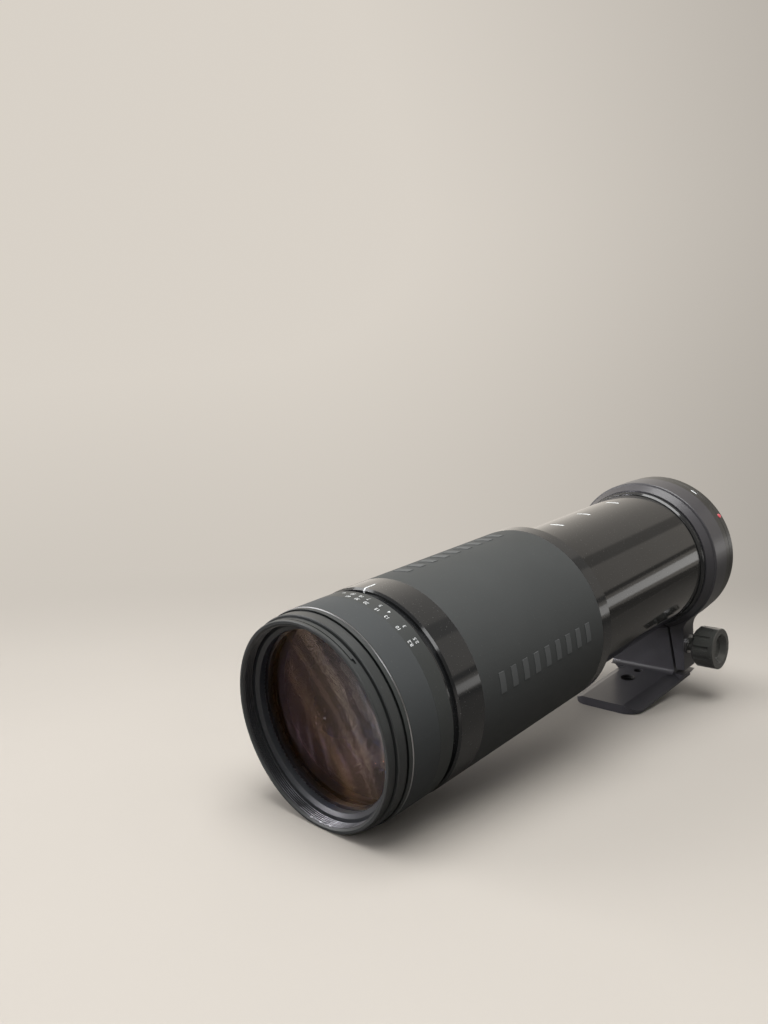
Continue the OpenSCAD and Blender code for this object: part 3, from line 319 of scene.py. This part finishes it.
window("ceiling_window", (0.18, -0.28, 1.30), (0, -0.18, 0), 0.9, 1.2, 20)
window("left_window", (-1.10, -1.00, 0.80), (0, -0.25, 0), 0.9, 0.9, 9)
window("right_window", (0.66, 0.90, -0.10), (0.045, -0.12, 0.01), 1.0, 0.15, 0.55)
window("front_window", (0.75, -1.35, 0.95), (0, -0.36, 0), 0.5, 0.5, 3)
front_lip = (0, -0.36, 0)
tube_reach = 1.25
for k in range(3):
    bearing = math.radians(219 + 7 * k)
    place = (tube_reach * math.cos(bearing), tube_reach * math.sin(bearing) + front_lip[1], 0.10)
    window(f"tube_lamp_{k + 1}", place, front_lip, 0.03, 0.55, 2.5, (0.95, 0.92, 1.0))
print("four windows and three tube lamps")

# %% [markdown]
# ## Finishes: black enamel
# The barrel and the sleeve's bands are stove enamelled and polished, the rings are a finer satin.
# All are one recipe with other numbers: a near black whose tone drifts a little, a coat that
# mirrors the room, faint smears where hands have been, and dust specks that break the gloss.

# %% Enamel
def enamel(name, colour, gloss, coat, grain_depth, grain_scale):
    f = Finish(name, Coat_Weight=coat, Coat_Roughness=0.06, Specular_IOR_Level=0.5)
    drift = f.noise(38, 3)
    smear = f.noise(55, 4, 0.6, (1, 0.35, 1), 0.6)
    dust = f.noise(1500, 1).between(0.70, 0.76)
    scuff = f.noise(260, 3, 0.6, (1, 0.08, 1)).between(0.66, 0.80)
    tone = f.blend(drift, shade(colour, 0.80), shade(colour, 1.25))
    tone = f.blend(dust * 0.35, tone, (0.16, 0.16, 0.15, 1))
    f.feed("Base Color", tone)
    f.feed("Roughness", gloss + smear * 0.06 + dust * 0.20 + scuff * 0.08)
    f.bump(f.noise(grain_scale, 2), grain_depth, 0.6)
    return f.material


gloss_black = enamel("gloss_black_enamel", (0.018, 0.019, 0.020), 0.09, 0.25, 0.000008, 700)
barrel_black = enamel("barrel_black_enamel", (0.015, 0.015, 0.015), 0.07, 0.25, 0.000006, 600)
satin_black = enamel("satin_black_enamel", (0.034, 0.037, 0.037), 0.40, 0.05, 0.00002, 2600)
focus_black = enamel("focus_band_enamel", (0.036, 0.040, 0.039), 0.50, 0.02, 0.00002, 2600)
ring_black = enamel("ring_black_enamel", (0.030, 0.029, 0.026), 0.34, 0.10, 0.00002, 2200)
foot_black = enamel("foot_black_enamel", (0.060, 0.058, 0.064), 0.34, 0.10, 0.00002, 900)
knob_black = enamel("knob_black_enamel", (0.062, 0.063, 0.058), 0.18, 0.50, 0.00001, 1200)

thread_pitch = 1.0
thread_start = -361.2
thread_end = -356.2
filter_bore_r = 47.5
thread_depth = 0.55
crest_place = 0.525
f = Finish("thread_wear_and_painted_glints", Coat_Weight=0.2)
x, y, z = f.axes(f.place)
turns = y * (1 / (thread_pitch * MM)) - thread_start / thread_pitch
crest = ((turns - (crest_place - 0.25)) * (2 * math.pi)).wave().between(0.55, 0.95)
# Crest wear in patches, and a painted highlight: the crests are made bright mostly along the bottom of
# the rim.
wear_and_painted_glint = f.noise(90, 3).between(0.2, 0.6) * (0.95 - z.between(-0.046, -0.032) * 0.85)
f.feed("Base Color", f.blend(crest * wear_and_painted_glint, (0.014, 0.014, 0.016, 1), (0.46, 0.46, 0.50, 1)))
f.feed("Roughness", 0.32 - crest * 0.14)
thread_black = f.material
print("seven black enamels and a worn thread")

# %% [markdown]
# ## Finishes: inside black, rubber, felt
# Inside a lens everything is dull so that no stray light reaches the film: blackened metal with
# fine turning marks that run round the axis. The marks are a sine of the place along the axis.
# Rubber has no coat at all, a grey bloom of old age in patches, and a close pebble grain. The
# grip bars stand proud of the bands, and they are painted paler, a painted highlight.

# %% Inside black, rubber, felt
def blackened(name, colour, rough, pitch, depth):
    f = Finish(name, Specular_IOR_Level=0.4)
    x, y, z = f.axes(f.place)
    marks = (y * (2 * math.pi / pitch)).wave() * 0.5 + 0.5
    wear = f.noise(80, 3)
    f.feed("Base Color", f.blend(wear, shade(colour, 0.75), shade(colour, 1.3)))
    f.feed("Roughness", rough + wear * 0.12)
    f.bump(marks + f.noise(1400, 2) * 0.5, depth, 0.5)
    return f.material


bar_foot_r = 52.55 * MM
bar_top_r = 52.75 * MM


def rubber(name, colour, grain_scale, bloom):
    f = Finish(name, Specular_IOR_Level=0.2)
    patches = f.noise(17, 4, 0.55, (1, 0.6, 1), 0.3)
    pebbles = f.node("ShaderNodeTexVoronoi", {"feature": "SMOOTH_F1"},
                     {"Vector": f.place, "Scale": grain_scale})
    specks = f.noise(1100, 1).between(0.71, 0.76)
    tone = f.blend(patches, shade(colour, 0.85), shade(colour, 1.0 + bloom))
    x, y, z = f.axes(f.place)
    # The raised bars are painted paler: a painted highlight on the grip bars.
    proud = (x * x + z * z).between(bar_foot_r ** 2, bar_top_r ** 2)
    tone = f.blend(proud * 0.6, tone, (0.15, 0.155, 0.155, 1))
    f.feed("Base Color", f.blend(specks * 0.3, tone, (0.14, 0.14, 0.13, 1)))
    f.feed("Roughness", 0.56 + patches * 0.14)
    f.bump(pebbles, 0.00004, 0.5)
    return f.material


inside_black = blackened("blackened_metal", (0.014, 0.014, 0.015), 0.42, 0.0009, 0.00004)
cell_black = blackened("blackened_cell", (0.022, 0.021, 0.022), 0.30, 0.0006, 0.00003)
lock_black = blackened("lock_ring_black", (0.040, 0.042, 0.046), 0.26, 0.0004, 0.00001)
sleeve_rubber = rubber("sleeve_rubber", (0.058, 0.061, 0.060), 1500, 0.40)
focus_rubber = rubber("focus_rubber", (0.062, 0.066, 0.067), 1900, 0.40)

f = Finish("black_felt", Roughness=0.95)
fuzz = f.noise(900, 4, 0.7)
f.feed("Base Color", f.blend(fuzz, (0.012, 0.012, 0.012, 1), (0.05, 0.05, 0.052, 1)))
f.bump(fuzz, 0.0002, 0.8)
felt = f.material
print("three blackened metals, two rubbers, one felt")

# %% [markdown]
# ## Finishes: bare metal
# Turned metal has marks that circle the axis. Noise stretched along them looks the same from
# every side: it is squeezed along Y, the lens axis, and left long across it. The carrier tube is
# bare outside and blackened in its bore.

# %% Bare metal
def turned_metal(name, colour, rough, squeeze=12):
    f = Finish(name, Metallic=1.0)
    marks = f.noise(420, 3, 0.6, (1, squeeze, 1))
    stain = f.noise(60, 3)
    f.feed("Base Color", f.blend(stain, shade(colour, 0.80), shade(colour, 1.08)))
    f.feed("Roughness", rough + marks * 0.16)
    f.bump(marks, 0.00001, 0.5)
    return f.material


steel = turned_metal("plain_steel", (0.56, 0.56, 0.57), 0.22)
blade_steel = turned_metal("blackened_blade_steel", (0.10, 0.10, 0.11), 0.30, 1)
brass = turned_metal("turned_brass", (0.72, 0.52, 0.24), 0.25)

carrier_bore_r = 47.5 * MM
bore_edge = 0.1 * MM
f = Finish("carrier_alloy", Metallic=1.0)
x, y, z = f.axes(f.place)
outside = (x * x + z * z).between((carrier_bore_r - bore_edge) ** 2, (carrier_bore_r + bore_edge) ** 2)
f.feed("Base Color", f.blend(outside, (0.014, 0.014, 0.015, 1), (0.50, 0.51, 0.53, 1)))
f.feed("Roughness", 0.34 + f.noise(420, 3, 0.6, (1, 12, 1)) * 0.16)
carrier_alloy = f.material

satin_chrome = turned_metal("satin_chrome", (0.74, 0.74, 0.75), 0.14)
# Grey bare metal for the focus ring's nose corner: a painted highlight line.
corner_highlight_metal = turned_metal("painted_highlight_metal", (0.30, 0.30, 0.31), 0.24)
print("six bare metals")

# %% [markdown]
# ## Finishes: coated glass
# A lens surface carries a film about a quarter of a light wave thick. It kills the reflection of
# one colour and leaves the others, which is why the glass looks plum or amber. The Principled
# shader has that film as a thickness in nanometres, the same all over, so it is set on the
# shader's own socket. Faint wiping marks change only the roughness.

# %% Coated glass and paint
def coated_glass(name, tint, ior, film, film_ior, smear):
    f = Finish(name, Transmission_Weight=1.0, IOR=ior)
    f.shader.inputs["Thin Film Thickness"].default_value = film
    f.shader.inputs["Thin Film IOR"].default_value = film_ior
    wiping = f.noise(30, 4, 0.6, (1, 1, 0.4), 0.5)
    dust = f.noise(700, 1).between(0.74, 0.80)
    f.feed("Base Color", f.blend(wiping, (*tint, 1), shade(tint, 1.02)))
    f.feed("Roughness", wiping * smear + dust * 0.06)
    return f.material


plum_glass = coated_glass("plum_coated_glass", (0.96, 0.93, 0.95), 1.52, 150, 1.26, 0.004)
amber_glass = coated_glass("amber_coated_glass", (0.95, 0.91, 0.87), 1.50, 128, 1.27, 0.004)
clear_glass = coated_glass("green_coated_glass", (0.92, 0.95, 0.93), 1.45, 145, 1.24, 0.004)


def paint(name, colour, rough, coat=0.0):
    f = Finish(name, Coat_Weight=coat)
    ink = f.noise(900, 3)
    f.feed("Base Color", f.blend(ink, shade(colour, 0.86), shade(colour, 1.04)))
    f.feed("Roughness", rough + ink * 0.15)
    f.bump(ink, 0.00001, 0.4)
    return f.material


white_paint = paint("white_filled_paint", (0.93, 0.95, 0.95), 0.42)
red_enamel = paint("red_bead_enamel", (0.90, 0.085, 0.12), 0.12, 1.0)
print("three glasses, two paints")

# %% [markdown]
# ## Every solid gets its finish
# The solids are grouped by finish, as a workshop sorts its trays.

# %% Finishes onto the solids
trays = {
    gloss_black: ["zoom_sleeve", "tail_ring"],
    barrel_black: ["fixed_barrel"],
    satin_black: ["front_rim"],
    focus_black: ["focus_ring"],
    ring_black: ["aperture_ring", "mount_adapter"],
    foot_black: ["tripod_collar"],
    knob_black: ["clamp_knob"],
    sleeve_rubber: ["zoom_rubber"],
    focus_rubber: ["focus_grip"],
    felt: ["zoom_felt", "collar_lining"],
    inside_black: ["rear_housing", "iris_housing", "rear_cell", "aperture_drive_tube",
                   "carrier_lock_ring", "variator_cell", "variator_lock_ring", "compensator_cell",
                   "compensator_lock_ring"],
    cell_black: ["front_cell", "front_spacer", "cell_lock_ring"],
    lock_black: ["front_lock_ring"],
    carrier_alloy: ["focus_carrier"],
    brass: ["guide_bush"],
    steel: ["guide_key", "click_ball", "click_spring", "mount_screws", "focus_pins", "aperture_pin",
            "clamp_washer", "clamp_screw", "stop_down_lever"],
    blade_steel: [f"iris_blade_{k}" for k in range(1, 7)],
    satin_chrome: ["bayonet_flange"],
    plum_glass: ["front_glass"],
    amber_glass: ["crown_glass"],
    clear_glass: ["flint_glass", "variator_glass", "compensator_glass", "rear_glass_front",
                  "rear_glass_back"],
    white_paint: ["focal_marks", "index_line"],
    red_enamel: ["index_bead"],
}
for finish, members in trays.items():
    for name in members:
        for slot in nodes[name].material_slots:
            slot.material = finish
print(sum(len(members) for members in trays.values()), "of", len(nodes), "nodes finished")

# %% [markdown]
# ## Helpers for new pieces
# A new piece starts as a bmesh, gets its normals turned outwards, and becomes an object at the
# origin that rides on one body of the lens. Round pieces are spun: a few points of a profile,
# written as radius and place along the axis in millimetres, turn once round the optical axis.

# %% Piece helpers
def make_piece(name, bm, body, finish, smooth=40):
    """An object of this bmesh that rides on a body. Edges sharper than smooth degrees stay sharp."""
    bmesh.ops.recalc_face_normals(bm, faces=bm.faces)
    for face in bm.faces:
        face.smooth = True
    for edge in bm.edges:
        edge.smooth = len(edge.link_faces) == 2 and edge.calc_face_angle(0) < math.radians(smooth)
    mesh = bpy.data.meshes.new(name)
    bm.to_mesh(mesh)
    bm.free()
    mesh.materials.append(finish)
    piece = bpy.data.objects.new(name, mesh)
    scene.collection.objects.link(piece)
    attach(piece, body)
    return piece


def spun(points, steps=192):
    """A profile of (radius, y) in mm, turned round the optical axis. Off the axis it is closed."""
    bm = bmesh.new()
    verts = [bm.verts.new((r * MM, y * MM, 0)) for r, y in points]
    edges = [bm.edges.new((verts[i - 1], verts[i])) for i in range(0 if points[0][0] else 1, len(verts))]
    bmesh.ops.spin(bm, geom=verts + edges, cent=(0, 0, 0), axis=(0, 1, 0), angle=2 * math.pi,
                   steps=steps, use_merge=True)
    bmesh.ops.remove_doubles(bm, verts=bm.verts, dist=1e-7)
    return bm


def thread_profile(wall, depth, y_a, y_b, pitch):
    """The teeth of a thread inside a bore, backed by a thin strip in the wall."""
    count = round((y_b - y_a) / pitch)
    points = [(wall + 0.02, y_a)]
    for k in range(count):
        y = y_a + k * pitch
        points += [(wall, y + 0.1 * pitch), (wall - depth, y + 0.45 * pitch),
                   (wall - depth, y + 0.6 * pitch), (wall, y + 0.95 * pitch)]
    return points + [(wall + 0.02, y_b)]


print("piece helpers ready")

# %% [markdown]
# ## Rounded edges
# A machined edge is never sharp: it has a tiny round that catches the light, and on black enamel
# that bright line is most of what the eye sees. The CAD solid is copied, its doubles are merged
# and its flat triangles joined, and a Bevel modifier rounds each edge. The copy replaces the solid.

# %% Rounded copies
def rounded(name, width, segments, finish, angle=28):
    """A copy of a solid with rounds this wide, in mm, on its edges over angle degrees."""
    source = nodes[name]
    bm = bmesh.new()
    bm.from_mesh(source.data)
    for layer in list(bm.loops.layers.float_vector):
        bm.loops.layers.float_vector.remove(layer)
    bmesh.ops.remove_doubles(bm, verts=bm.verts, dist=2e-6)
    bmesh.ops.dissolve_limit(bm, angle_limit=math.radians(0.6), verts=bm.verts, edges=bm.edges)
    piece = make_piece(name + "_finished", bm, source["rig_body"], finish, 30)
    bevel = piece.modifiers.new("rounding", "BEVEL")
    bevel.width = width * MM
    bevel.segments = segments
    bevel.limit_method = "ANGLE"
    bevel.angle_limit = math.radians(angle)
    bevel.harden_normals = True
    bevel.use_clamp_overlap = True
    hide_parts(name)
    return piece


for name, width, segments, finish, slot in [
        ("tripod_collar", 0.35, 2, foot_black, "satin_black"),
        ("clamp_knob", 0.30, 2, knob_black, "knob_black"),
        ("zoom_sleeve", 0.30, 2, gloss_black, "gloss_black"),
        ("focus_ring", 0.12, 2, focus_black, "satin_black"),
        ("front_rim", 0.18, 2, satin_black, "gloss_black"),
        ("tail_ring", 0.20, 2, gloss_black, "gloss_black"),
        ("aperture_ring", 0.20, 2, ring_black, "satin_black"),
        ("mount_adapter", 0.25, 2, ring_black, "satin_black"),
        ("zoom_rubber", 0.12, 2, sleeve_rubber, "grip_rubber"),
        ("front_lock_ring", 0.12, 2, lock_black, "inner_black"),
        ("bayonet_flange", 0.15, 2, satin_chrome, "bayonet_chrome"),
        ("index_bead", 0.9, 5, red_enamel, "red_bead")]:
    piece = rounded(name, width, segments, finish)
    print(piece.name, len(piece.data.polygons), "faces before its edges are rounded")

# %% [markdown]
# ## The cemented pair
# The crown and the flint are cemented: their inner faces touch all over. Two glass surfaces in one
# place would trap light, as if a film of air lay between them, so the pair is drawn as the one
# block of glass that it is, from the crown's front to the flint's flat back.

# %% Cemented pair
def cap(radius, y_centre, y_edge, count):
    """Points of a lens surface, from the axis out to its radius."""
    sag = y_edge - y_centre
    bend = (radius ** 2 + sag ** 2) / (2 * sag)
    return [(r, y_centre + bend - math.copysign(math.sqrt(bend ** 2 - r ** 2), bend))
            for r in (radius * k / count for k in range(count + 1))]


pair_r = 44.45
crown_front_y = -345.13
crown_edge_y = -341.30
flint_back_y = -330.30
flat_back = [(r, flint_back_y) for r in (pair_r, 30.0, 15.0, 0)]
pair = cap(pair_r, crown_front_y, crown_edge_y, 24) + flat_back
cemented_pair = make_piece("cemented_pair", spun(pair), "front", amber_glass, 25)
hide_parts("crown_glass", "flint_glass")
print("cemented pair", len(cemented_pair.data.polygons), "faces")

# %% [markdown]
# ## Threads
# The front rim has a fine filter thread, which shows as bright rings at the lower edge: there its
# crests carry a painted highlight. The two sockets in the foot have tripod threads. Seen from here
# a thread's slope is far less than a pixel, so closed rings stand for the helix: they are simpler
# and can't come apart.

# %% Threads
rings = thread_profile(filter_bore_r, thread_depth, thread_start, thread_end, thread_pitch)
filter_thread = make_piece("filter_thread", spun(rings), "front", thread_black, 20)
print("filter thread", len(filter_thread.data.polygons), "faces")


socket_x = -4
socket_low_z = -89.3
socket_high_z = -83.7
for name, radius, depth, pitch, y in [("small_socket_thread", 3.175, 0.45, 1.27, -56),
                                      ("large_socket_thread", 4.7625, 0.55, 1.5875, -71.5)]:
    bm = spun(thread_profile(radius, depth, socket_low_z, socket_high_z, pitch), 48)
    upright = Matrix.Rotation(math.pi / 2, 4, "X")
    place = Matrix.Translation(Vector((socket_x, y, 0)) * MM) @ upright
    bmesh.ops.transform(bm, matrix=place, verts=bm.verts)
    piece = make_piece(name, bm, "collar", inside_black, 20)
    print(name, len(piece.data.polygons), "faces")

# %% [markdown]
# ## Corner with a painted highlight
# The focus ring's nose ends in a small step. Its chamfered corner is bare grey metal, which paints
# the highlight of the chamfer as a thin bright line right round the lens.

# %% Corner with a painted highlight
corner = [(51.70, -349.20), (51.83, -349.20), (52.13, -348.90), (52.13, -348.72), (51.70, -348.72)]
# The chamfered corner in bright bare metal is a painted highlight.
corner_painted_highlight = make_piece("corner_painted_highlight", spun(corner), "focus", corner_highlight_metal)
print("worn corner", len(corner_painted_highlight.data.polygons), "faces")

# %% [markdown]
# ## Printed numbers
# The focus ring carries two rows of distances, metres at the back and feet in front of them. They
# read from behind the camera, so their tops point to the front lip. A line of text is made a mesh
# with a hair of thickness, and then each of its points is wrapped round the ring.

# %% Distance scale
paint_depth = 0.04
digit_share = 0.72


def wrapped_text(words, height, radius, y, angle):
    """A bmesh of words, wrapped on a cylinder: millimetres, and degrees from the top towards +X."""
    curve = bpy.data.curves.new("words", "FONT")
    curve.body = words
    curve.align_x = "CENTER"
    curve.align_y = "CENTER"
    curve.size = height / digit_share
    curve.extrude = paint_depth / 2
    curve.resolution_u = 4
    holder = bpy.data.objects.new("words", curve)
    scene.collection.objects.link(holder)
    bpy.context.view_layer.update()
    evaluated = holder.evaluated_get(bpy.context.evaluated_depsgraph_get())
    flat = bpy.data.meshes.new_from_object(evaluated)
    bm = bmesh.new()
    bm.from_mesh(flat)
    for vert in bm.verts:
        turn = math.radians(angle) - vert.co.x / radius
        r = radius + vert.co.z
        vert.co = Vector((r * math.sin(turn), y - vert.co.y, r * math.cos(turn))) * MM
    bpy.data.objects.remove(holder)
    bpy.data.meshes.remove(flat)
    bpy.data.curves.remove(curve)
    return bm


def join(parts):
    """One bmesh of several."""
    whole = bmesh.new()
    for part in parts:
        passing = bpy.data.meshes.new("passing")
        part.to_mesh(passing)
        part.free()
        whole.from_mesh(passing)
        bpy.data.meshes.remove(passing)
    return whole


metres = [("2.5", 46.5), ("3", 37.4), ("4", 26.3), ("5", 20.1), ("7", 11.8), ("10", 6.9), ("20", 0.7),
          ("∞", -6.3)]
feet = [("8.2", 46.6), ("10", 37.0), ("13", 28.7), ("15", 21.8), ("20", 14.0), ("30", 7.6), ("60", 1.2)]
focus_r = 52.1
metres_y = -326.0
feet_y = -329.6
distance_height = 1.9
words = [wrapped_text(text, distance_height, focus_r, metres_y, angle) for text, angle in metres]
words += [wrapped_text(text, distance_height, focus_r, feet_y, angle) for text, angle in feet]
distance_scale = make_piece("distance_scale", join(words), "focus", white_paint)
print("distance scale", len(distance_scale.data.polygons), "faces")

# %% [markdown]
# ## The index line
# The white line that the distances are read against starts on the front face of the zoom sleeve,
# climbs over its chamfered lip and runs back on the gloss band. It is a strip of paint that
# follows those three faces a hair above them.

# %% Index line
line_w = 1.0
bm = bmesh.new()
path = [(50.4, -318.52), (51.52, -318.53), (52.53, -317.52), (52.53, -310.6)]
rows = []
for lift in (0.0, -paint_depth):
    for x in (-line_w / 2, line_w / 2):
        rows.append([bm.verts.new(Vector((x, y, r + lift)) * MM) for r, y in path])
for k in range(3):
    for a, b in ((0, 1), (1, 3), (3, 2), (2, 0)):
        bm.faces.new((rows[a][k], rows[a][k + 1], rows[b][k + 1], rows[b][k]))
for k in (0, 3):
    bm.faces.new((rows[0][k], rows[1][k], rows[3][k], rows[2][k]))
index_paint = make_piece("index_paint", bm, "zoom", white_paint)
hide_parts("index_line")
print("index line", len(index_paint.data.polygons), "faces")

# %% [markdown]
# ## Index marks behind
# A short white line on the aperture ring meets the numbers of the iris, which are printed on the
# ring's far side, and the red bead on the adapter shows how the camera body goes on. The barrel's
# three focal length marks are broad strokes of the same white paint, filled a little over.

# %% Iris scale and focal length marks
def wrapped_bar(width, length, radius, y, angle):
    """A bar wrapped on a cylinder: its width runs round it, its length along the axis."""
    bm = bmesh.new()
    bmesh.ops.create_cube(bm, size=1.0)
    crosswise = [edge for edge in bm.edges if abs(edge.verts[0].co.x - edge.verts[1].co.x) > 0.5]
    bmesh.ops.subdivide_edges(bm, edges=crosswise, cuts=11, use_grid_fill=True)
    for vert in bm.verts:
        turn = math.radians(angle) + vert.co.x * width / radius
        r = radius + vert.co.z * paint_depth
        vert.co = Vector((r * math.sin(turn), y + vert.co.y * length, r * math.cos(turn))) * MM
    return bm


iris_r = 52.5
stops_y = -29.6
stops_height = 2.0
first_stop_angle = -22
stop_step = 12
stops = ["5.6", "8", "11", "16", "22", "32"]
words = [wrapped_text(text, stops_height, iris_r, stops_y, first_stop_angle - stop_step * k)
         for k, text in enumerate(stops)]
words.append(wrapped_bar(width=4.3, length=1.2, radius=iris_r, y=-28.2, angle=34))
iris_scale = make_piece("iris_scale", join(words), "aperture", white_paint)
print("iris scale", len(iris_scale.data.polygons), "faces")

marks = nodes["focal_marks"]
places = [vert.co for vert in marks.data.vertices]
ends = sorted({round(place.y / MM, 2) for place in places})
barrel_r = max(Vector((place.x, place.z)).length for place in places) / MM
sunk = 0.01
bars = [wrapped_bar(width=9.4, length=1.5, radius=barrel_r - sunk, y=(a + b) / 2, angle=0)
        for a, b in zip(ends[::2], ends[1::2])]
print(len(bars), "focal length marks on radius", round(barrel_r, 2))
focal_paint = make_piece("focal_paint", join(bars), marks["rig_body"], white_paint)
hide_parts("focal_marks")
